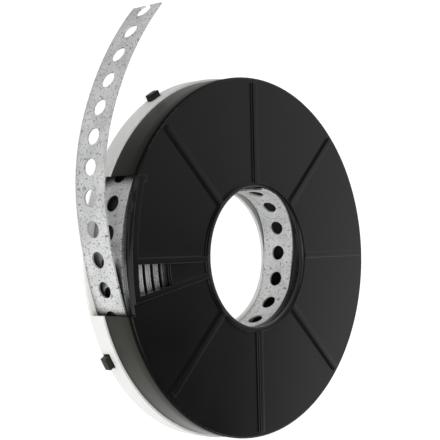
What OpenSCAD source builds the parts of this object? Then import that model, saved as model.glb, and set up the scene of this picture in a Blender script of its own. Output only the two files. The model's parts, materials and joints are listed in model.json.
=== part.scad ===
// Perforated steel strap on a coil, in its round two-part dispenser cassette.
// The cassette lies on its back. The origin is on the reel axis, in the plane of the back, and +Z runs
// along the axis to the ribbed front. All sizes are in millimetres and all angles in degrees.

/* [Strap] */
// Width of the strap
strap_w = 17; // [12:0.5:26]
// Thickness of the strap
strap_t = 0.8; // [0.6:0.1:1.1]
// Diameter of the holes along the strap
hole_d = 6.9; // [4:0.1:8]
// Distance from hole to hole along the strap
hole_pitch = 12.35; // [10:0.05:18]

/* [Coil] */
// Number of turns in the coil
turns = 30; // [16:1:36]
// Depth of the gaps between the turns, seen on each end of the coil
turn_gap_d = 4; // [1:0.5:5]
// Radial room between the coil and the cassette's wall
coil_clear = 0.6; // [0.3:0.1:3]
// Radial step from the cassette's bore out to the innermost turn
coil_step = 0.7; // [0.2:0.1:3]

/* [Free end] */
// Angle from the exit's lower end back to where the strap leaves the coil
leave_step = 7.2; // [4:0.1:7.5]
// Length of the free end, from the coil to its cut end
free_l = 146.5; // [120:0.5:170]
// Bend radius where the free end leaves the coil
bend_1_r = 176; // [150:1:220]
// Length of the first bend
bend_1_l = 50; // [40:1:60]
// Bend radius halfway along the free end
bend_2_r = 91; // [80:1:120]
// Length of the second bend
bend_2_l = 40; // [30:1:50]
// Bend radius up to the cut end
bend_3_r = 130; // [100:1:180]
// Length of strap left past the last hole's centre
tip_l = 3.2; // [2.4:0.1:8]
// Number of holes along the free end
free_holes = 12; // [9:1:12]

/* [Cassette] */
// Outside diameter of the back shell
back_d = 160; // [150:1:180]
// Step in radius from the back shell to the front shell
shell_step = 1; // [0.6:0.1:1.4]
// Diameter of the bore through the cassette
bore_d = 61.6; // [50:0.2:70]
// Thickness of the back plate
back_t = 1.6; // [1.2:0.1:2.4]
// Thickness of the back shell's rim
back_wall = 1.8; // [1.6:0.1:2.2]
// Height of the back shell's rim
back_rim_h = 8.5; // [8:0.1:10]
// Thickness of the front plate
face_t = 2; // [1.4:0.1:3]
// Thickness of the front shell's rim
front_wall = 2; // [1.4:0.1:2.4]
// Room above the coil, under the front plate
strap_clear = 3.4; // [2:0.1:6]
// Radius of the rounded outer corners
corner_r = 1; // [0.4:0.1:1.2]
// Thickness of the front shell's spigot inside the back shell's rim
spigot_t = 1; // [0.8:0.1:1.4]
// Depth of the spigot inside the back shell's rim
spigot_h = 3; // [2:0.1:3.2]
// Gap between the spigot and the back shell's rim
fit_clear = 0.2; // [0.1:0.05:0.3]

/* [Ribs and bore lip] */
// Number of ribs on the front
ribs = 8; // [4:4:8]
// Width of a rib
rib_w = 2.5; // [1.6:0.1:4]
// Height of the ribs and of the bore lip
rib_h = 1.2; // [0.6:0.1:2]
// Distance from the ribs' outer ends to the front shell's outside
rib_end = 2.3; // [1.5:0.1:5]
// Width of the lip round the bore
lip_w = 2; // [1.4:0.1:3]
// Wall of the collar that hangs below the lip
collar_t = 1.6; // [1:0.1:2.4]
// Gap between the collar and the coil under it
collar_clear = 0.4; // [0.2:0.1:1.5]

/* [Exit and sight window] */
// Reach of the exit from the reel axis, towards the strap's cut end
exit_up = 34.3; // [31:0.1:36]
// Reach of the exit from the reel axis, the other way
exit_down = 21.5; // [19:0.1:24]
// Depth of the front plate's edge at the middle of the exit, from the front shell's outside
exit_d = 3.5; // [2.8:0.1:4.5]
// Radius of the front plate's edge along the exit
edge_r = 122; // [110:1:140]
// Width of the bar along the exit
bar_w = 3.1; // [2.4:0.1:4.5]
// Distance from the reel axis to the inner end of the bar's cap
cap_x = 66.5; // [60:0.1:68]
// Angle between the two bars beside the sight window
window_a = 11.8; // [10:0.1:16]
// Radius of the sight window's inner end
window_r = 53.8; // [48:0.1:60]

/* [Snap hooks] */
// Number of snap hooks
hooks = 4; // [4:4:4]
// Angle of the first snap hook
hook_a = 30.4; // [26:0.2:34]
// Width of a hook
hook_w = 5.6; // [4:0.1:10]
// Height of a hook's nose
hook_h = 3.1; // [2:0.1:3.4]
// How far a hook's nose stands out of the back shell
hook_out = 2.5; // [0.5:0.1:3]
// Height of the hooks' ends above the plane of the back
hook_z = 1.4; // [1:0.1:1.6]
// Gap between a hook and its slot, above, below and behind it
hook_clear = 0.3; // [0.2:0.05:0.5]
// Gap on each side of a hook in its slot
slot_clear = 0.6; // [0.4:0.1:2]

/* [Hidden] */
$fn = 96;

// Length by which joined shapes run into each other, and by which cuts run past a face
lap = 1;
// Heights, from the plane of the back
coil_z = back_t;
coil_top_z = coil_z + strap_w;
plate_z = coil_top_z + strap_clear;
face_z = plate_z + face_t;
rib_z = face_z + rib_h;
// Radii of the shells
bore_r = bore_d / 2;
back_r = back_d / 2;
back_in_r = back_r - back_wall;
front_r = back_r - shell_step;
front_in_r = front_r - front_wall;
spigot_r = back_in_r - fit_clear;
spigot_in_r = spigot_r - spigot_t;
// Radii of the coil, whose turns stand at equal distances
coil_in_r = bore_r + coil_step;
coil_r = min(front_in_r, spigot_in_r) - coil_clear;
turn_pitch = (coil_r - coil_in_r - strap_t) / (turns - 1);
outer_turn_r = coil_r - strap_t / 2;
inner_turn_r = coil_in_r + strap_t / 2;
// Place on the X axis about which the front plate's edge along the exit is struck
edge_x = edge_r - (front_r - exit_d);
// Angle round the reel at which the strap leaves the coil
leave_a = 180 + asin(exit_down / front_r) + leave_step;
// Length that is surely more than the whole cassette
span = 2 * back_d;

// The free end is a row of bends, each tangent to the one before
bends = [
    [bend_1_r, bend_1_l],
    [bend_2_r, bend_2_l],
    [bend_3_r, free_l - bend_1_l - bend_2_l]
];
// The free end starts this far inside the outer turn, so that the two run into each other
lead_in = strap_t / 8;
// Number of straight steps in which the free end's bends are drawn
free_steps = 60;
// A drill through the free end runs this far to each side of the strap's middle
drill_past = 1.25 * strap_t;

// Angle that a length along an arc takes up
function arc_a(length, r) = length / r * 180 / PI;
// Unit vector at an angle
function dir(a) = [cos(a), sin(a)];
// Place and heading [position, heading] after a length along a bend to the right
function after(start, r, length) =
    let (heading = start[1] - arc_a(length, r))
    [start[0] + r * (dir(start[1] - 90) - dir(heading - 90)), heading];
// Place and heading where the bend with this number starts
function bend_start(i) =
    i == 0
        ? [(outer_turn_r - lead_in) * dir(leave_a), leave_a - 90]
        : after(bend_start(i - 1), bends[i - 1][0], bends[i - 1][1]);
// Place and heading at a distance along the free end
function along(s, i = 0) =
    s <= bends[i][1] || i == len(bends) - 1
        ? after(bend_start(i), bends[i][0], s)
        : along(s - bends[i][1], i + 1);
// Point at a distance along the free end, and to the left of the strap's middle
function beside(s, left) =
    let (place = along(s))
    place[0] + left * dir(place[1] + 90);
// Distance of the hole with this number along the free end, counted from the cut end
function hole_s(i) = free_l - tip_l - i * hole_pitch;

// The coil as one turned solid, whose gaps between the turns open on both ends
module coil() {
    rotate_extrude()
        translate([0, coil_z])
            difference() {
                translate([coil_in_r, 0])
                    square([coil_r - coil_in_r, strap_w]);
                for (i = [1 : turns - 1], z = [-lap, strap_w - turn_gap_d])
                    translate([coil_in_r + strap_t + (i - 1) * turn_pitch, z])
                        square([turn_pitch - strap_t, turn_gap_d + lap]);
            }
}

// The free end, from inside the outer turn to the cut end
module free_end() {
    stations = [for (i = [0 : free_steps]) i * free_l / free_steps];
    translate([0, 0, coil_z])
        linear_extrude(strap_w)
            polygon(concat(
                [for (s = stations) beside(s, strap_t / 2)],
                [for (s = stations) beside(free_l - s, -strap_t / 2)]
            ));
}

// A drill along the local X axis, at the middle of the strap's width
module drill(from, to) {
    translate([from, 0, coil_z + strap_w / 2])
        rotate([0, 90, 0])
            cylinder(d = hole_d, h = to - from);
}

module free_end_drills() {
    for (i = [0 : free_holes - 1]) {
        place = along(hole_s(i));
        translate(concat(place[0], 0))
            rotate(place[1] + 90)
                drill(-drill_past, drill_past);
    }
}

// The outer turn's holes go on from those of the free end, as far round as the free end covers it
module outer_turn_drills() {
    step = arc_a(hole_pitch, outer_turn_r);
    first = leave_a - arc_a(hole_s(free_holes - 1), outer_turn_r) + step;
    for (a = [first : step : leave_a + 360 - 1.5 * step])
        rotate(a)
            drill(coil_r - turn_pitch, coil_r + strap_t / 4);
}

module inner_turn_drills() {
    step = arc_a(hole_pitch, inner_turn_r);
    for (a = [0 : step : 360 - step])
        rotate(a)
            drill(coil_in_r - lap, coil_in_r + turn_pitch);
}

module strap() {
    color("silver")
        difference() {
            union() {
                coil();
                free_end();
            }
            free_end_drills();
            outer_turn_drills();
            inner_turn_drills();
        }
}

// Half section of the front shell: plate, rounded corner, rim and collar, and the spigot as it is at a
// snap hook, where it reaches down to a nose that points out. The bore is cut later.
module front_section() {
    translate([bore_r - lap, plate_z])
        square([front_r - corner_r - bore_r + lap, face_t]);
    translate([front_in_r, back_rim_h])
        square([front_wall, face_z - corner_r - back_rim_h]);
    translate([front_r - corner_r, face_z - corner_r])
        circle(corner_r);
    translate([bore_r - lap, coil_top_z + collar_clear])
        square([collar_t + lap, strap_clear]);
    translate([spigot_in_r, hook_z])
        square([spigot_t, back_rim_h - hook_z + lap]);
    translate([spigot_in_r, hook_z])
        square([back_r + hook_out - spigot_in_r, hook_h]);
}

// Strip on the side of -X, as wide as the exit
module exit_strip() {
    translate([-span, -exit_down])
        square([span, exit_up + exit_down]);
}

// Disc whose edge is the front plate's edge along the exit, or lies this far inside it
module edge_disc(inside = 0) {
    translate([edge_x, 0])
        circle(edge_r - inside);
}

// Outline of the gap in both rims through which the strap leaves
module rim_gap_outline() {
    difference() {
        exit_strip();
        circle(spigot_in_r - lap);
    }
}

// Outline of what is cut off the front plate along the exit
module plate_cut_outline() {
    difference() {
        exit_strip();
        edge_disc();
    }
}

// Outline of the bar along the exit, which ends at the sight window's lower bar, and of its cap
module exit_bar_outline() {
    difference() {
        intersection() {
            exit_strip();
            edge_disc(-lap);
        }
        edge_disc(bar_w);
        rotate(180 + window_a)
            translate([0, rib_w / 2])
                square(span);
    }
    translate([-front_r, exit_up - rib_w])
        square([front_r - cap_x, rib_w]);
}

// Outline of what stands out of the front plate: the bore's lip, the ribs, the sight window's lower bar,
// and the exit's bar with its cap. The bore and the exit trim it later.
module raised_outline() {
    circle(bore_r + lip_w);
    for (i = [0 : ribs - 1])
        rotate(i * 360 / ribs)
            translate([0, -rib_w / 2])
                square([front_r - rib_end, rib_w]);
    rotate(180 + window_a)
        translate([0, -rib_w / 2])
            square([front_r - exit_d, rib_w]);
    exit_bar_outline();
}

// The sight window lies between the rib at 180 degrees and the bar below it, inside the exit's bar
module window_outline() {
    difference() {
        intersection() {
            rotate(180)
                translate([0, rib_w / 2])
                    square(span);
            rotate(180 + window_a)
                translate([0, -rib_w / 2 - span])
                    square(span);
            edge_disc(bar_w);
        }
        circle(window_r);
    }
}

// What is taken off below the spigot to leave the snap hooks
module between_hooks() {
    difference() {
        rotate_extrude()
            translate([spigot_in_r - lap, hook_z - lap])
                square([back_r + hook_out - spigot_in_r + 2 * lap, back_rim_h - spigot_h - hook_z + lap]);
        for (i = [0 : hooks - 1])
            rotate(hook_a + i * 360 / hooks)
                translate([0, -hook_w / 2, -lap])
                    cube([span, hook_w, back_rim_h + lap]);
    }
}

module front_shell() {
    color("dimgray")
        difference() {
            union() {
                rotate_extrude()
                    front_section();
                translate([0, 0, face_z - lap])
                    linear_extrude(lap + rib_h)
                        raised_outline();
            }
            cylinder(r = bore_r, h = rib_z + lap);
            between_hooks();
            translate([0, 0, -lap])
                linear_extrude(lap + plate_z)
                    rim_gap_outline();
            translate([0, 0, plate_z - lap])
                linear_extrude(face_t + rib_h + 2 * lap)
                    plate_cut_outline();
            translate([0, 0, plate_z - lap])
                linear_extrude(face_t + rib_h + 2 * lap)
                    window_outline();
        }
}

// Half section of the back shell: plate, rounded corner and rim
module back_section() {
    translate([bore_r, 0])
        square([back_r - corner_r - bore_r, back_t]);
    translate([back_r - corner_r, corner_r])
        circle(corner_r);
    translate([back_in_r, corner_r])
        square([back_wall, back_rim_h - corner_r]);
}

// A slot for one snap hook on the local X axis, through the rim and into the plate
module hook_slot() {
    slot_w = hook_w + 2 * slot_clear;
    from = spigot_in_r - hook_clear;
    translate([from, -slot_w / 2, hook_z - hook_clear])
        cube([back_r - from + lap, slot_w, hook_h + 2 * hook_clear]);
}

module back_shell() {
    color("whitesmoke")
        difference() {
            rotate_extrude()
                back_section();
            translate([0, 0, back_t])
                linear_extrude(back_rim_h)
                    rim_gap_outline();
            for (i = [0 : hooks - 1])
                rotate(hook_a + i * 360 / hooks)
                    hook_slot();
        }
}

strap();
front_shell();
back_shell();
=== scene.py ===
"""A coil of perforated strap in its dispenser cassette: the strap, the finishes and the stage."""

import json
import math

import bmesh
import bpy
from mathutils import Matrix, Vector


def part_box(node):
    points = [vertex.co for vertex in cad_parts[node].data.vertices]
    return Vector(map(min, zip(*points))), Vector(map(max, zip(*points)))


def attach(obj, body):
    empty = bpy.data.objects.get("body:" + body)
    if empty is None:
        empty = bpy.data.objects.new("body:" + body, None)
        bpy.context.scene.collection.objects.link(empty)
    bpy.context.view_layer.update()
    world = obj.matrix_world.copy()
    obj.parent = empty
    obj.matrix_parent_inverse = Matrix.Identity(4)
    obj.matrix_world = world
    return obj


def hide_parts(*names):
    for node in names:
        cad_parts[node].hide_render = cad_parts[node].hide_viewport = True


bl_info = {
    "name": "Strap cassette",
    "version": (1, 0, 0),
    "blender": (4, 5, 0),
    "location": "3D View > Sidebar > Strap cassette",
    "description": "Winds a perforated strap, finishes its cassette and sets up a studio",
    "category": "Object",
}

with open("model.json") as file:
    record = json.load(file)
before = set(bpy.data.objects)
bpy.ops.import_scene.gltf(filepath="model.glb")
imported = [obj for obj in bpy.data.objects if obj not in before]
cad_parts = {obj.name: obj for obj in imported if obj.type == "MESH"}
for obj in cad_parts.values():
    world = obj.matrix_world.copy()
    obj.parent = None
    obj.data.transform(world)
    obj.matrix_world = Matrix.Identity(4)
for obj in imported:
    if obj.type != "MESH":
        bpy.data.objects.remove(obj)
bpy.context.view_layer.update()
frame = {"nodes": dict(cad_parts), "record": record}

MM = 0.001
strap_low, strap_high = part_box("strap")
mounts = {mount["name"]: mount for mount in frame["record"]["mounts"]}
hole_size = mounts["strap_hole_01"]["dims"]
bore_radius = mounts["reel_bore"]["dims"]["r_mm"] * MM
front_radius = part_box("front_shell")[1].x


def length_property(name, description, default):
    return bpy.props.FloatProperty(
        name=name, description=description, default=default, min=0.0, unit="LENGTH", precision=5
    )


def angle_property(name, description, degrees):
    return bpy.props.FloatProperty(
        name=name, description=description, default=math.radians(degrees), subtype="ANGLE"
    )


def colour_property(name, description, default):
    return bpy.props.FloatVectorProperty(
        name=name, description=description, default=default, size=3, min=0.0, max=1.0, subtype="COLOR"
    )


class StrapSettings(bpy.types.PropertyGroup):
    """Sizes of the strap, its coil and its free end."""

    width: length_property("Width", "Width of the strap", strap_high.z - strap_low.z)
    thickness: length_property("Thickness", "Thickness of the strap", hole_size["length_mm"] * MM)
    hole: length_property("Hole", "Diameter of the holes", 2 * hole_size["r_mm"] * MM)
    pitch: length_property("Pitch", "Distance from hole to hole", 12.35 * MM)
    tip: length_property("Tip", "Length past the last hole's centre", 3.2 * MM)
    leave: angle_property("Leave", "Angle round the reel at which the strap leaves the coil", 202.99)
    bend_radii: bpy.props.FloatVectorProperty(
        name="Bend radii",
        description="Radii of the free end's bends, from the coil to the cut end",
        default=(176 * MM, 91 * MM, 130 * MM),
        unit="LENGTH",
    )
    bend_lengths: bpy.props.FloatVectorProperty(
        name="Bend lengths",
        description="Lengths of the free end's bends, from the coil to the cut end",
        default=(50 * MM, 40 * MM, 56.5 * MM),
        unit="LENGTH",
    )
    turns: bpy.props.FloatProperty(name="Turns", description="Turns in the coil", default=27.75)
    outside: length_property("Outside", "Radius of the coil's outside", strap_high.x)
    inside: length_property("Inside", "Radius inside the loose inner turn", bore_radius + 0.315 * MM)
    close: length_property("Close", "Distance between two turns that lie close", 0.93 * MM)
    spring: length_property("Spring", "Way that the outer turn springs out inside the shell", 0.5 * MM)
    loose: length_property("Loose", "Gap behind the loose inner turn", 3.5 * MM)
    nudge: length_property("Nudge", "Way that the inner end lies inside its own turn", 1.6 * MM)
    lift: length_property("Lift", "Way that the inner end stands up out of the coil", 6.2 * MM)


class FinishSettings(bpy.types.PropertyGroup):
    """Colours of the finishes and of the painted shade between the strap's turns, and the mouldings'
    edges.
    """

    zinc: colour_property("Zinc", "Light grey of the galvanised strap", (0.72, 0.73, 0.72))
    zinc_dull: colour_property("Dull zinc", "Darker blotches of the strap", (0.58, 0.59, 0.585))
    speck: colour_property("Speck", "Dark specks in the zinc", (0.2, 0.2, 0.2))
    # Painted shade: a near-black colour that stands in for the shade in the narrow gaps between the
    # strap's turns
    gap: colour_property("Gap", "Strap in the narrow gaps between the turns", (0.02, 0.02, 0.02))
    black: colour_property("Black", "Black plastic of the front shell", (0.0022, 0.0022, 0.0024))
    white: colour_property("White", "White plastic of the back shell", (0.77, 0.77, 0.75))
    edge: length_property("Edge", "Width of the mouldings' broken edges", 0.2 * MM)
    lip: length_property("Lip", "Rounding of the bore's lip at the top", 1.0 * MM)


class StageSettings(bpy.types.PropertyGroup):
    """Floor and camera."""

    floor: colour_property("Floor", "Colour of the floor", (0.5, 0.5, 0.5))
    distance: length_property("Distance", "Distance from the camera to its aim", 0.49007)
    azimuth: angle_property("Azimuth", "Direction of the camera from its aim, about Z from +X", -178.507)
    elevation: angle_property("Elevation", "Height of the camera above the floor, as an angle", 42.692)
    roll: angle_property("Roll", "Turn of the camera about its own axis", -1.35)
    aim: bpy.props.FloatVectorProperty(
        name="Aim",
        description="Point that the camera looks at",
        default=(-10.53 * MM, 16.58 * MM, 12.0 * MM),
        subtype="TRANSLATION",
    )
    lens: bpy.props.FloatProperty(name="Lens", description="Focal length in millimetres", default=91.02)


class CassetteSettings(bpy.types.PropertyGroup):
    """All that a user would change."""

    strap: bpy.props.PointerProperty(type=StrapSettings)
    finish: bpy.props.PointerProperty(type=FinishSettings)
    stage: bpy.props.PointerProperty(type=StageSettings)


def add(tree, kind, inputs=None, **options):
    """Adds a node, sets its options, and sets or joins its inputs by name or number."""
    node = tree.nodes.new(kind)
    for name, value in options.items():
        setattr(node, name, value)
    for key, value in (inputs or {}).items():
        if isinstance(value, bpy.types.NodeSocket):
            tree.links.new(value, node.inputs[key])
        else:
            node.inputs[key].default_value = value
    return node


def calc(tree, operation, *values):
    """One sum on numbers or sockets."""
    return add(tree, "ShaderNodeMath", dict(enumerate(values)), operation=operation).outputs[0]


def vector_calc(tree, operation, *values):
    """One sum on vectors."""
    node = add(tree, "ShaderNodeVectorMath", dict(enumerate(values)), operation=operation)
    return node.outputs["Vector"]


def vector_length(tree, vector):
    """The length of a vector."""
    return add(tree, "ShaderNodeVectorMath", {0: vector}, operation="LENGTH").outputs["Value"]


def joined(tree, x, y, z=0.0):
    """A vector from its three numbers."""
    return add(tree, "ShaderNodeCombineXYZ", {0: x, 1: y, 2: z}).outputs[0]


def square_wave(tree, turn, shift):
    """One coordinate on a square of half side 1, for a share of one turn round it."""
    part = calc(tree, "FRACT", calc(tree, "ADD", turn, shift))
    ramp = calc(tree, "ABSOLUTE", calc(tree, "SUBTRACT", part, 0.5))
    # From -2 to 2 and back, cut off at -1 and 1
    wave = calc(tree, "MULTIPLY_ADD", ramp, 8.0, -2.0)
    return calc(tree, "MAXIMUM", calc(tree, "MINIMUM", wave, 1.0), -1.0)


# Points round a hole, a multiple of four so that a cell's corners are among them
HOLE_POINTS = 28
# An eighth of a turn, from a side of a cell to its corner
EIGHTH = 1 / 8
# Corners of the strap closer than this are one
SEAM = 0.005 * MM
# Faces smaller than this, in square metres, are squeezed flat and go
FLAT_FACE = 1e-10


def welded(tree, mesh):
    """A mesh of the strap whose corners at one place are joined."""
    weld = add(tree, "GeometryNodeMergeByDistance", {"Geometry": mesh, "Distance": SEAM})
    return weld.outputs["Geometry"]


def strap_cell(tree, sizes):
    """One flat length of strap with its hole: a ring of faces from the hole out to the edges."""
    grid = add(
        tree,
        "GeometryNodeMeshGrid",
        {"Size X": 1.0, "Size Y": 1.0, "Vertices X": HOLE_POINTS + 1, "Vertices Y": 2},
    )
    share = add(tree, "ShaderNodeSeparateXYZ", {0: grid.outputs["UV Map"]})
    turn = share.outputs[0]
    angle = calc(tree, "MULTIPLY_ADD", turn, 2 * math.pi, math.pi / 4)
    hole_radius = calc(tree, "MULTIPLY", sizes["Hole"], 0.5)
    rim = joined(
        tree,
        calc(tree, "MULTIPLY", calc(tree, "COSINE", angle), hole_radius),
        calc(tree, "MULTIPLY", calc(tree, "SINE", angle), hole_radius),
    )
    half_pitch = calc(tree, "MULTIPLY", sizes["Pitch"], 0.5)
    half_width = calc(tree, "MULTIPLY", sizes["Width"], 0.5)
    edge = joined(
        tree,
        calc(tree, "MULTIPLY", square_wave(tree, turn, EIGHTH), half_pitch),
        calc(tree, "MULTIPLY", square_wave(tree, turn, -EIGHTH), half_width),
    )
    out = joined(tree, share.outputs[1], share.outputs[1], share.outputs[1])
    place = vector_calc(tree, "MULTIPLY_ADD", out, vector_calc(tree, "SUBTRACT", edge, rim), rim)
    cell = add(tree, "GeometryNodeSetPosition", {"Geometry": grid.outputs["Mesh"], "Position": place})
    return cell.outputs["Geometry"]


def flat_strap(tree, sizes):
    """A row of cells along X, cut off square past the centre of the first hole."""
    row = add(
        tree,
        "GeometryNodeMeshLine",
        {"Count": sizes["Cells"], "Offset": joined(tree, sizes["Pitch"], 0.0)},
        mode="OFFSET",
    )
    cells = add(
        tree,
        "GeometryNodeInstanceOnPoints",
        {"Points": row.outputs["Mesh"], "Instance": strap_cell(tree, sizes)},
    )
    strip = add(tree, "GeometryNodeRealizeInstances", {"Geometry": cells.outputs["Instances"]})
    place = add(tree, "ShaderNodeSeparateXYZ", {0: add(tree, "GeometryNodeInputPosition").outputs[0]})
    cut = calc(tree, "MAXIMUM", place.outputs[0], calc(tree, "MULTIPLY", sizes["Tip"], -1.0))
    trimmed = add(
        tree,
        "GeometryNodeSetPosition",
        {"Geometry": strip.outputs["Geometry"], "Position": joined(tree, cut, place.outputs[1])},
    )
    area = add(tree, "GeometryNodeInputMeshFaceArea")
    kept = add(
        tree,
        "GeometryNodeDeleteGeometry",
        {
            "Geometry": trimmed.outputs["Geometry"],
            "Selection": calc(tree, "LESS_THAN", area.outputs[0], FLAT_FACE),
        },
        domain="FACE",
    )
    return welded(tree, kept.outputs["Geometry"])


def bent_strap(tree, sizes, strip, path):
    """The flat strap stood on its edge along the path, half its thickness to the path's right."""
    curve = add(tree, "GeometryNodeMeshToCurve", {"Mesh": path})
    place = add(tree, "ShaderNodeSeparateXYZ", {0: add(tree, "GeometryNodeInputPosition").outputs[0]})
    sample = add(
        tree,
        "GeometryNodeSampleCurve",
        {"Curves": curve.outputs["Curve"], "Length": calc(tree, "ADD", place.outputs[0], sizes["Tip"])},
        mode="LENGTH",
        use_all_curves=True,
    )
    raised = calc(tree, "ADD", place.outputs[1], sizes["Low edge"])
    height = calc(tree, "MULTIPLY_ADD", sizes["Width"], 0.5, raised)
    up = (0.0, 0.0, 1.0)
    left = vector_calc(tree, "CROSS_PRODUCT", up, sample.outputs["Tangent"])
    half = calc(tree, "MULTIPLY", sizes["Thickness"], -0.5)
    shift = vector_calc(tree, "MULTIPLY", left, joined(tree, half, half, half))
    middle = vector_calc(tree, "ADD", sample.outputs["Position"], joined(tree, 0.0, 0.0, height))
    stood = add(
        tree,
        "GeometryNodeSetPosition",
        {"Geometry": strip, "Position": vector_calc(tree, "ADD", middle, shift)},
    )
    return stood.outputs["Geometry"]


def strap_nodes():
    """The node tree that turns a path into a perforated strap."""
    tree = bpy.data.node_groups.new("Perforated strap", "GeometryNodeTree")
    face = tree.interface
    face.new_socket("Path", in_out="INPUT", socket_type="NodeSocketGeometry")
    for name in ("Width", "Thickness", "Hole", "Pitch", "Tip", "Low edge"):
        face.new_socket(name, in_out="INPUT", socket_type="NodeSocketFloat")
    face.new_socket("Cells", in_out="INPUT", socket_type="NodeSocketInt")
    face.new_socket("Finish", in_out="INPUT", socket_type="NodeSocketMaterial")
    face.new_socket("Strap", in_out="OUTPUT", socket_type="NodeSocketGeometry")
    sizes = add(tree, "NodeGroupInput").outputs
    sheet = bent_strap(tree, sizes, flat_strap(tree, sizes), sizes["Path"])
    thick = add(
        tree,
        "GeometryNodeExtrudeMesh",
        {"Mesh": sheet, "Offset Scale": sizes["Thickness"], "Individual": False},
        mode="FACES",
    )
    back = add(tree, "GeometryNodeFlipFaces", {"Mesh": sheet})
    both = add(tree, "GeometryNodeJoinGeometry", {0: thick.outputs["Mesh"]})
    tree.links.new(back.outputs["Mesh"], both.inputs[0])
    closed = welded(tree, both.outputs["Geometry"])
    whole = add(tree, "GeometryNodeRealizeInstances", {"Geometry": closed})
    finished = add(
        tree,
        "GeometryNodeSetMaterial",
        {"Geometry": whole.outputs["Geometry"], "Material": sizes["Finish"]},
    )
    add(tree, "NodeGroupOutput", {"Strap": finished.outputs["Geometry"]})
    return tree


# Degrees between two points of the coil's path
COIL_STEP = 3.0
# Length between two points of the free end's path
FREE_STEP = 1.0 * MM
# Turns of the outer round, which springs out against the shell and dips under the strap's way out
LEAD = 0.956
# Turns in which it springs out, share of it where it starts to dip, and share in which it dips
RISE, DIP_FROM, DIP_IN = 0.12, 0.7, 0.25
# The turns lie close in groups of this many, with a wider gap after each group
GROUP = 3
# Share by which the inner groups lie wider apart than the outer ones
LOOSENING = 0.17
# Shares of the way in between which the groups give way to even turns
EVEN_FROM, EVEN_TO = 0.5, 0.7
# Turns in which the strap steps in, where its loose inner turn starts
STEP_IN = 0.3
# Turns before the end where the inner end moves in, and in which it does so
NUDGE_FROM, NUDGE_IN = 0.425, 0.1
# Turns before the end where it starts to stand up, and in which it does so
LIFT_FROM, LIFT_IN = 0.37, 0.264


def toward(angle):
    return Vector((math.cos(angle), math.sin(angle), 0.0))


def held(value):
    """A value held between 0 and 1."""
    return min(max(value, 0.0), 1.0)


def smooth(value):
    """A soft step from 0 to 1."""
    value = held(value)
    return value * value * (3 - 2 * value)


def free_end_point(strap, distance):
    """Point on the free end's middle line, at a distance from the coil along its bends."""
    quarter = math.pi / 2
    point = (strap.outside - strap.thickness / 2) * toward(strap.leave)
    heading = strap.leave - quarter
    for radius, length in zip(strap.bend_radii, strap.bend_lengths):
        step = min(distance, length)
        turned = heading - step / radius
        point = point + radius * (toward(heading - quarter) - toward(turned - quarter))
        heading = turned
        distance -= step
    return point


def group_depth(strap, group):
    """How far in a group of turns starts, and its share of the way."""
    lead = LEAD * strap.close
    share = group * GROUP / (strap.turns - LEAD)
    depth = strap.outside - strap.inside - strap.thickness - lead - strap.loose
    return lead + depth * share * (1 + LOOSENING / 2 * (share - 1)), share


def wound_in(strap, turn):
    """How far the strap has come in after a number of turns, from the outer one."""
    if turn < LEAD:
        dip = smooth((turn / LEAD - DIP_FROM) / DIP_IN)
        return dip * LEAD * strap.close - (1 - dip) * smooth(turn / RISE) * strap.spring
    group, within = divmod(turn - LEAD, GROUP)
    start, share = group_depth(strap, group)
    depth = group_depth(strap, group + 1)[0] - start
    evenness = held((share - EVEN_FROM) / (EVEN_TO - EVEN_FROM))
    step = strap.close + (depth / GROUP - strap.close) * evenness
    return start + step * within + (depth - GROUP * step) * max(within - GROUP + 1, 0.0)


def loosened(strap, turn):
    """How far the loose inner turn lies inside the others."""
    left = strap.turns - turn
    step = smooth((1 - left) / STEP_IN)
    return strap.loose * step + strap.nudge * smooth((NUDGE_FROM - left) / NUDGE_IN)


def lifted(strap, turn):
    """How far the inner end stands up out of the coil."""
    return strap.lift * smooth((LIFT_FROM - strap.turns + turn) / LIFT_IN)


def strap_path(strap):
    """Points along the strap's middle line, from the cut end to the inner end of the coil."""
    free_length = sum(strap.bend_lengths)
    free_steps = round(free_length / FREE_STEP)
    points = [free_end_point(strap, free_length * (1 - i / free_steps)) for i in range(free_steps)]
    outer = strap.outside - strap.thickness / 2
    for i in range(round(strap.turns * 360 / COIL_STEP) + 1):
        turn = i * COIL_STEP / 360
        radius = outer - wound_in(strap, turn) - loosened(strap, turn)
        rise = Vector((0.0, 0.0, lifted(strap, turn)))
        points.append(radius * toward(strap.leave + 2 * math.pi * turn) + rise)
    return points


def length_of(points):
    return sum((b - a).length for a, b in zip(points, points[1:]))


def new_object(name, data):
    made = bpy.data.objects.new(name, data)
    bpy.context.scene.collection.objects.link(made)
    return made


def put_on(piece, material):
    piece.data.materials.clear()
    piece.data.materials.append(material)


def plain_mesh(source):
    """The evaluated mesh of an object, free of its modifiers."""
    graph = bpy.context.evaluated_depsgraph_get()
    return bpy.data.meshes.new_from_object(source.evaluated_get(graph), depsgraph=graph)


# Faces that meet at more than this angle keep a crisp edge
CRISP = math.radians(35)


def wind_strap(strap, finish):
    """The whole strap as one plain mesh."""
    points = strap_path(strap)
    line = bpy.data.meshes.new("strap_path")
    line.from_pydata(points, [(i, i + 1) for i in range(len(points) - 1)], [])
    piece = new_object("perforated_strap", line)
    tree = strap_nodes()
    modifier = piece.modifiers.new("Perforated strap", "NODES")
    modifier.node_group = tree
    values = {
        "Width": strap.width,
        "Thickness": strap.thickness,
        "Hole": strap.hole,
        "Pitch": strap.pitch,
        "Tip": strap.tip,
        "Low edge": strap_low.z,
        "Cells": int((length_of(points) - strap.tip) / strap.pitch),
        "Finish": finish,
    }
    for socket in tree.interface.items_tree:
        if socket.name in values:
            modifier[socket.identifier] = values[socket.name]
    mesh = plain_mesh(piece)
    piece.modifiers.clear()
    piece.data = mesh
    mesh.shade_smooth()
    mesh.set_sharp_from_angle(angle=CRISP)
    return piece


# Corners of a moulding closer than this are one
MERGE = 0.001 * MM
# Faces that meet at less than this angle are one flat face
FLAT = math.radians(0.05)
# Edges at which faces meet at more than this angle are broken
SHARP = math.radians(75)
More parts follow.
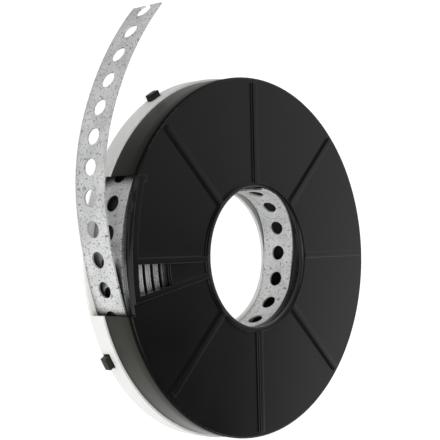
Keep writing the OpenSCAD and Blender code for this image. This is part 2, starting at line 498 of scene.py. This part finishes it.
# Rows of faces across a broken edge and across the lip, and how full each of them is
EDGE_ROWS, EDGE_FULLNESS = 2, 0.5
LIP_ROWS, LIP_FULLNESS = 6, 0.65
# Distance at which a point counts as on the lip
LIP_NEAR = 0.05 * MM
# Faces of a broken edge that meet at more than this angle stay crisp
EDGE_CRISP = math.radians(38)
# Radius of the front's rounded outer edge, and height of the front
CORNER, FACE_HEIGHT = 1.0 * MM, 24 * MM
# Distance at which a point counts as on that rounding
CORNER_NEAR = 0.03 * MM
# Cosine of the angle up to which a face counts as part of it
CORNER_FACING = 0.8


def on_lip(point, top):
    """Whether a point lies on the edge where the bore opens at the top."""
    return abs(point.xy.length - bore_radius) < LIP_NEAR and top - point.z < LIP_NEAR


def round_the_corner(mesh):
    """Gives the front's rounded outer edge the normals of a true rounding."""
    normals = [Vector(corner.vector) for corner in mesh.corner_normals]
    for face in mesh.polygons:
        for corner in face.loop_indices:
            point = mesh.vertices[mesh.loops[corner].vertex_index].co
            out = point.xy.length - front_radius + CORNER
            up = point.z - FACE_HEIGHT + CORNER
            if min(out, up) < -CORNER_NEAR or abs(math.hypot(out, up) - CORNER) > CORNER_NEAR:
                continue
            normal = Vector((*(out * point.xy.normalized()), up)).normalized()
            if normal.dot(face.normal) > CORNER_FACING:
                normals[corner] = normal
    mesh.normals_split_custom_set(normals)


def broken_edges(node, name, width, lip_width, finish):
    """A merged copy of a moulding, with its sharp edges broken and the bore's lip rounded."""
    work = bmesh.new()
    work.from_mesh(node.data)
    work.transform(node.matrix_world)
    bmesh.ops.remove_doubles(work, verts=work.verts, dist=MERGE)
    bmesh.ops.dissolve_limit(work, angle_limit=FLAT, verts=work.verts, edges=work.edges)
    top = max(vert.co.z for vert in work.verts)
    sharp = [edge for edge in work.edges if edge.calc_face_angle(0.0) > SHARP]
    lip = [edge for edge in sharp if all(on_lip(vert.co, top) for vert in edge.verts)]
    rest = [edge for edge in sharp if edge not in lip]
    for edges, offset, rows, fullness in (
        (rest, width, EDGE_ROWS, EDGE_FULLNESS),
        (lip, lip_width, LIP_ROWS, LIP_FULLNESS),
    ):
        bmesh.ops.bevel(work, geom=edges, offset=offset, segments=rows, profile=fullness, affect="EDGES")
    bmesh.ops.triangulate(work, faces=work.faces)
    mesh = bpy.data.meshes.new(name)
    work.to_mesh(mesh)
    work.free()
    mesh.shade_smooth()
    mesh.set_sharp_from_angle(angle=EDGE_CRISP)
    piece = new_object(name, mesh)
    piece.modifiers.new("Even faces", "WEIGHTED_NORMAL").keep_sharp = True
    piece.data = plain_mesh(piece)
    piece.modifiers.clear()
    round_the_corner(piece.data)
    put_on(piece, finish)
    return piece


def finish_tree(name):
    """A new material, its tree, its shader and the coordinates of its pattern."""
    material = bpy.data.materials.new(name)
    material.use_nodes = True
    tree = material.node_tree
    shader = tree.nodes["Principled BSDF"]
    place = add(tree, "ShaderNodeTexCoord").outputs["Object"]
    return material, tree, shader, place


def noise(tree, place, size, detail=2.0, rough=0.5):
    """Noise whose features are about this size."""
    node = add(
        tree,
        "ShaderNodeTexNoise",
        {"Vector": place, "Scale": 1 / size, "Detail": detail, "Roughness": rough},
    )
    return node.outputs["Fac"]


def ranged(tree, value, low, high, to_low=0.0, to_high=1.0):
    """A value mapped from one range to another, and held inside it."""
    node = add(
        tree,
        "ShaderNodeMapRange",
        {"Value": value, "From Min": low, "From Max": high, "To Min": to_low, "To Max": to_high},
    )
    return node.outputs["Result"]


def blend(tree, share, first, second):
    """A number between two numbers."""
    return add(tree, "ShaderNodeMix", {0: share, 2: first, 3: second}, data_type="FLOAT").outputs[0]


def mixed(tree, share, first, second):
    """A colour between two colours."""
    node = add(tree, "ShaderNodeMix", {0: share}, data_type="RGBA")
    for socket, value in zip(node.inputs[6:8], (first, second)):
        if isinstance(value, bpy.types.NodeSocket):
            tree.links.new(value, socket)
        else:
            socket.default_value = (*value, 1.0)
    return node.outputs[2]


def bump(tree, height, depth, strength, under=None):
    """Normals of a relief, on top of another one where there is one."""
    node = add(tree, "ShaderNodeBump", {"Height": height, "Distance": depth, "Strength": strength})
    if under:
        tree.links.new(under, node.inputs["Normal"])
    return node.outputs["Normal"]


# Levels between which a noise is spread over a surface
SPREAD = 0.3, 0.7
# Rays that tell how open a surface lies
OPEN_RAYS = 8


def openness(tree, reach):
    """1 on open surfaces, less where something lies within reach of them."""
    node = add(tree, "ShaderNodeAmbientOcclusion", {"Distance": reach}, samples=OPEN_RAYS)
    return node.outputs["AO"]


def reel_place(tree, place):
    """Distance from the reel's axis, and height above the floor."""
    part = add(tree, "ShaderNodeSeparateXYZ", {0: place}).outputs
    return vector_length(tree, joined(tree, part["X"], part["Y"])), part["Z"]


# Ways in from the coil's outside where the painted shade between the turns starts and where it is full
DARK_IN = 1.15 * MM, 1.4 * MM
# The same ways out from the bore
DARK_OUT = 5.3 * MM, 5.65 * MM
# The same ways down from the turns' top edges
DARK_DOWN = 0.3 * MM, 0.9 * MM
# Reach of the painted shade in narrow places, and the openness at which it is full and at which it ends
GAP_REACH = 5 * MM
GAP_FADE = 0.35, 0.8


def shade_between_turns(tree, place):
    """1 on the faces between the turns, where shade is painted because no light reaches them, and 0
    elsewhere.
    """
    radius, height = reel_place(tree, place)
    inside = ranged(tree, radius, *(strap_high.x - way for way in DARK_IN))
    behind = ranged(tree, radius, *(bore_radius + way for way in DARK_OUT))
    below = ranged(tree, height, *(strap_high.z - way for way in DARK_DOWN))
    return calc(tree, "MULTIPLY", calc(tree, "MULTIPLY", inside, behind), below)


# Size of the zinc's blotches, and the noise levels between which they fade
BLOTCH = 9 * MM
BLOTCH_FADE = 0.35, 0.65
# Sizes of its fine and coarse specks, and the noise levels at which they start and are full
FINE, COARSE = 0.75 * MM, 1.6 * MM
FINE_FADE = 0.41, 0.34
COARSE_FADE = 0.37, 0.31
# Roughness of the specks' noise
SPECK_ROUGH = 0.6
# How metallic the zinc is, its roughness in low and high spots, and its relief's depth and strength
ZINC_METAL = 0.6
ZINC_ROUGH = 0.55, 0.4
ZINC_RELIEF = 0.05 * MM, 0.25


def galvanised_finish(colours):
    """Zinc with soft blotches and fine dark specks, with painted shade in the gaps between the turns and
    in narrow places.
    """
    material, tree, shader, place = finish_tree("galvanised strap")
    blotch = ranged(tree, noise(tree, place, BLOTCH, detail=3.0), *BLOTCH_FADE)
    fine = noise(tree, place, FINE, rough=SPECK_ROUGH)
    coarse = noise(tree, place, COARSE, rough=SPECK_ROUGH)
    fine_specks = ranged(tree, fine, *FINE_FADE)
    coarse_specks = ranged(tree, coarse, *COARSE_FADE)
    specks = calc(tree, "MAXIMUM", fine_specks, coarse_specks)
    zinc = mixed(tree, blotch, colours.zinc_dull, colours.zinc)
    surface = mixed(tree, specks, zinc, colours.speck)
    # Painted shade: the zinc turns to the dark gap colour between the turns and where ambient occlusion
    # finds something close by
    uncovered = calc(tree, "SUBTRACT", 1.0, shade_between_turns(tree, place))
    lit = calc(tree, "MULTIPLY", ranged(tree, openness(tree, GAP_REACH), *GAP_FADE), uncovered)
    tree.links.new(mixed(tree, lit, colours.gap, surface), shader.inputs["Base Color"])
    tree.links.new(ranged(tree, fine, *SPREAD, *ZINC_ROUGH), shader.inputs["Roughness"])
    tree.links.new(bump(tree, fine, *ZINC_RELIEF), shader.inputs["Normal"])
    shader.inputs["Metallic"].default_value = ZINC_METAL
    return material


# Size of the flow marks in each plastic, and how much lighter or darker they are than its colour
BLACK_FLOW, BLACK_DRIFT = 40 * MM, 1.5
WHITE_FLOW, WHITE_DRIFT = 30 * MM, 0.95
# Roughness of each plastic, off its flow marks and on them
BLACK_ROUGH = 0.14, 0.19
WHITE_ROUGH = 0.35, 0.45
# Size of the grain of each plastic, and the grain's depth and strength
BLACK_GRAIN, WHITE_GRAIN = 0.35 * MM, 0.4 * MM
GRAIN_RELIEF = 0.02 * MM, 0.15
# Width of the polished band round the bore, its roughness, and the size and stretch of its streaks
POLISHED = 2 * MM
POLISH = 0.06
STREAK_SIZE, STREAK_STRETCH = 0.6 * MM, (0.03, 0.03, 1.0)
# Relief in millimetres: depth of the streaks, dish of the lip, and how the rim rolls in towards the front
STREAK, DISH, ROLL = 0.12, 0.14, 0.8
# Heights between which the rim rolls in
ROLL_FROM, ROLL_TO = 18 * MM, 23 * MM
# Shares of the rounded edge's radius, in from the outside, between which the face turns into the rim
RIM_FROM, RIM_TO = 0.7, 0.3
# Gloss of the black plastic and of the rim's dull front edge, and heights where that starts and is full
GLOSS, DULL = 0.36, 0.03
DULL_FROM, DULL_TO = 22.0 * MM, 22.7 * MM
# Tints of the face's sheen and of the rim's, and the rim's roughness
PLAIN, WARM = (1.0, 1.0, 1.0), (0.96, 1.0, 0.74)
RIM_ROUGH = 0.3


def flow_marks(tree, shader, place, colour, size, drift):
    """Gives a plastic its colour with soft flow marks, and returns them: 0 off a mark and 1 on it."""
    marks = ranged(tree, noise(tree, place, size), *SPREAD)
    shade = mixed(tree, marks, colour, [drift * part for part in colour])
    tree.links.new(shade, shader.inputs["Base Color"])
    return marks


def front_form(tree, place, radius, height, face):
    """Normals of the front shell's soft forms: the bore's streaks and dished lip, and the rim's roll."""
    stretched = vector_calc(tree, "MULTIPLY", place, STREAK_STRETCH)
    drawn = noise(tree, stretched, STREAK_SIZE, detail=3.0)
    streaks = blend(tree, face, calc(tree, "MULTIPLY", drawn, STREAK), STREAK / 2)
    dish = ranged(tree, radius, bore_radius, bore_radius + POLISHED, 0.0, DISH)
    roll = calc(tree, "POWER", ranged(tree, height, ROLL_FROM, ROLL_TO), 2.0)
    lip = calc(tree, "ADD", streaks, dish)
    relief = calc(tree, "ADD", lip, calc(tree, "MULTIPLY", roll, -ROLL))
    return bump(tree, relief, 1.0 * MM, 1.0)


def black_plastic_finish(colours):
    """Satin black moulding with a faint grain and flow marks, polished at the bore and dull at the rim."""
    material, tree, shader, place = finish_tree("black moulding")
    marks = flow_marks(tree, shader, place, colours.black, BLACK_FLOW, BLACK_DRIFT)
    radius, height = reel_place(tree, place)
    face = ranged(tree, radius, bore_radius + POLISHED, bore_radius + 2 * POLISHED)
    rim = ranged(tree, radius, front_radius - RIM_FROM * CORNER, front_radius - RIM_TO * CORNER)
    edge = calc(tree, "MULTIPLY", rim, ranged(tree, height, DULL_FROM, DULL_TO))
    inner = blend(tree, face, POLISH, blend(tree, marks, *BLACK_ROUGH))
    tree.links.new(blend(tree, rim, inner, RIM_ROUGH), shader.inputs["Roughness"])
    tree.links.new(blend(tree, edge, GLOSS, DULL), shader.inputs["Specular IOR Level"])
    tree.links.new(mixed(tree, rim, PLAIN, WARM), shader.inputs["Specular Tint"])
    form = front_form(tree, place, radius, height, face)
    grain = noise(tree, place, BLACK_GRAIN, detail=1.0)
    tree.links.new(bump(tree, grain, *GRAIN_RELIEF, form), shader.inputs["Normal"])
    return material


def white_plastic_finish(colours):
    """Satin white moulding with a faint grain and flow marks."""
    material, tree, shader, place = finish_tree("white moulding")
    marks = flow_marks(tree, shader, place, colours.white, WHITE_FLOW, WHITE_DRIFT)
    tree.links.new(blend(tree, marks, *WHITE_ROUGH), shader.inputs["Roughness"])
    grain = noise(tree, place, WHITE_GRAIN, detail=1.0)
    tree.links.new(bump(tree, grain, *GRAIN_RELIEF), shader.inputs["Normal"])
    return material


WHITE_LIGHT = (1.0, 1.0, 1.0, 1.0)


def seeing_rays(tree):
    """Two values: 1 for rays from the camera, and 1 for rays off gloss and through glass."""
    path = add(tree, "ShaderNodeLightPath").outputs
    shiny = calc(tree, "MAXIMUM", path["Is Glossy Ray"], path["Is Transmission Ray"])
    return path["Is Camera Ray"], shiny


# Half the floor's side in metres, and how far it lies below the object
FLOOR_HALF = 6.0
FLOOR_DROP = 0.05 * MM
# Glow that lifts the lit floor to white for the camera and leaves the shadow on it
FLOOR_GLOW = 0.72
# Glow of the floor on gloss, at the -Y side and at the +Y side, and half the way between them
GLOSS_GLOW, GLOSS_DIM, GLOSS_FADE = 0.6, 0.0, 60 * MM
# Glow of the floor on matt surfaces
MATT_GLOW = 0.5


def make_floor(stage):
    """A pale floor under the object."""
    signs = ((-1, -1), (1, -1), (1, 1), (-1, 1))
    corners = [(x * FLOOR_HALF, y * FLOOR_HALF, -FLOOR_DROP) for x, y in signs]
    mesh = bpy.data.meshes.new("floor")
    mesh.from_pydata(corners, [], [(0, 1, 2, 3)])
    floor = new_object("floor", mesh)
    material, tree, shader, place = finish_tree("floor")
    shader.inputs["Base Color"].default_value = (*stage.floor, 1.0)
    shader.inputs["Roughness"].default_value = 1.0
    shader.inputs["Specular IOR Level"].default_value = 0.0
    shader.inputs["Emission Color"].default_value = WHITE_LIGHT
    from_camera, shiny = seeing_rays(tree)
    across = add(tree, "ShaderNodeSeparateXYZ", {0: place}).outputs["Y"]
    on_gloss = ranged(tree, across, -GLOSS_FADE, GLOSS_FADE, GLOSS_GLOW, GLOSS_DIM)
    unseen = blend(tree, shiny, MATT_GLOW, on_gloss)
    glow = blend(tree, from_camera, unseen, FLOOR_GLOW)
    tree.links.new(glow, shader.inputs["Emission Strength"])
    put_on(floor, material)


# Light from all round on matt surfaces
AMBIENT = 0.62
# Heights between which the backdrop darkens in front, which is the -Y side, and its light at both
FRONT_FADE, FRONT_LIGHT = (0.57, 0.685), (1.1, 0.02)
# The same for the rear, which is the +Y side
REAR_FADE, REAR_LIGHT = (0.5, 0.85), (0.85, 0.1)
# Directions along Y between which the front turns into the rear
TO_REAR = -0.12, 0.08


def make_world():
    """A pale studio whose upper part is dark, as polished black shows it."""
    world = bpy.data.worlds.new("studio")
    bpy.context.scene.world = world
    world.use_nodes = True
    tree = world.node_tree
    tree.nodes.clear()
    direction = add(tree, "ShaderNodeTexCoord").outputs["Generated"]
    part = add(tree, "ShaderNodeSeparateXYZ", {0: direction}).outputs
    front = ranged(tree, part["Z"], *FRONT_FADE, *FRONT_LIGHT)
    rear = ranged(tree, part["Z"], *REAR_FADE, *REAR_LIGHT)
    backdrop = blend(tree, ranged(tree, part["Y"], *TO_REAR), front, rear)
    shown = add(tree, "ShaderNodeBackground", {"Color": WHITE_LIGHT, "Strength": backdrop})
    light = add(tree, "ShaderNodeBackground", {"Color": WHITE_LIGHT, "Strength": AMBIENT})
    seen = calc(tree, "MAXIMUM", *seeing_rays(tree))
    studio = add(tree, "ShaderNodeMixShader", {0: seen, 1: light.outputs[0], 2: shown.outputs[0]})
    add(tree, "ShaderNodeOutputWorld", {"Surface": studio.outputs[0]})


# Name of each lamp, its place and its side in metres, and its power in watts
LAMPS = (
    ("overhead", (-0.25, -0.05, 0.9), 0.9, 4.5),
    ("side", (-0.85, -0.25, 0.35), 0.6, 2.3),
)


def make_lamps():
    """Square area lamps that face the object."""
    for name, place, side, power in LAMPS:
        lamp = bpy.data.lights.new(name, "AREA")
        lamp.size = side
        lamp.energy = power
        made = new_object(name, lamp)
        made.location = place
        made.rotation_euler = (-Vector(place)).to_track_quat("-Z", "Y").to_euler()


# Distance in metres from which the camera sees
CLIP_START = 0.01


def make_camera(stage):
    """A camera at the photograph's angle, with the strap's free end upwards in the picture."""
    level = math.cos(stage.elevation)
    back = Vector(
        (level * math.cos(stage.azimuth), level * math.sin(stage.azimuth), math.sin(stage.elevation))
    )
    right = Vector((0.0, 1.0, 0.0)).cross(back).normalized()
    up = back.cross(right)
    turn = Matrix.Rotation(stage.roll, 3, back)
    axes = Matrix((turn @ right, turn @ up, back)).transposed()
    data = bpy.data.cameras.new("camera")
    data.lens = stage.lens
    data.clip_start = CLIP_START
    camera = new_object("camera", data)
    camera.matrix_world = Matrix.Translation(Vector(stage.aim) + stage.distance * back) @ axes.to_4x4()
    bpy.context.scene.camera = camera


class CASSETTE_OT_strap(bpy.types.Operator):
    """Winds the perforated strap and lays its free end"""

    bl_idname = "cassette.strap"
    bl_label = "Wind the strap"

    def execute(self, context):
        settings = context.scene.cassette
        piece = wind_strap(settings.strap, galvanised_finish(settings.finish))
        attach(piece, "root")
        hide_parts("strap")
        return {"FINISHED"}


class CASSETTE_OT_shells(bpy.types.Operator):
    """Breaks the edges of both shells and gives them their finish"""

    bl_idname = "cassette.shells"
    bl_label = "Finish the shells"

    def execute(self, context):
        finish = context.scene.cassette.finish
        for node, slot, material in (
            ("front_shell", "black_plastic", black_plastic_finish(finish)),
            ("back_shell", "white_plastic", white_plastic_finish(finish)),
        ):
            source = frame["nodes"][node]
            piece = broken_edges(source, node + "_moulding", finish.edge, finish.lip, material)
            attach(piece, "root")
            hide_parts(node)
        return {"FINISHED"}


class CASSETTE_OT_stage(bpy.types.Operator):
    """Sets up the floor, the light and the camera"""

    bl_idname = "cassette.stage"
    bl_label = "Set up the stage"

    def execute(self, context):
        stage = context.scene.cassette.stage
        make_floor(stage)
        make_world()
        make_lamps()
        make_camera(stage)
        context.scene.view_settings.view_transform = "Standard"
        return {"FINISHED"}


OPERATORS = (CASSETTE_OT_strap, CASSETTE_OT_shells, CASSETTE_OT_stage)


class CASSETTE_PT_sidebar(bpy.types.Panel):
    """Sizes, colours and steps of the strap cassette"""

    bl_idname = "CASSETTE_PT_sidebar"
    bl_label = "Strap cassette"
    bl_space_type = "VIEW_3D"
    bl_region_type = "UI"
    bl_category = "Strap cassette"

    def draw(self, context):
        settings = context.scene.cassette
        for group in (settings.strap, settings.finish, settings.stage):
            for name in group.__annotations__:
                self.layout.prop(group, name)
        for operator in OPERATORS:
            self.layout.operator(operator.bl_idname)


CLASSES = (StrapSettings, FinishSettings, StageSettings, CassetteSettings, *OPERATORS, CASSETTE_PT_sidebar)


def register():
    for made in CLASSES:
        bpy.utils.register_class(made)
    bpy.types.Scene.cassette = bpy.props.PointerProperty(type=CassetteSettings)


def unregister():
    del bpy.types.Scene.cassette
    for made in reversed(CLASSES):
        bpy.utils.unregister_class(made)


def main():
    register()
    bpy.ops.cassette.strap()
    bpy.ops.cassette.shells()
    bpy.ops.cassette.stage()


if __name__ == "__main__":
    main()
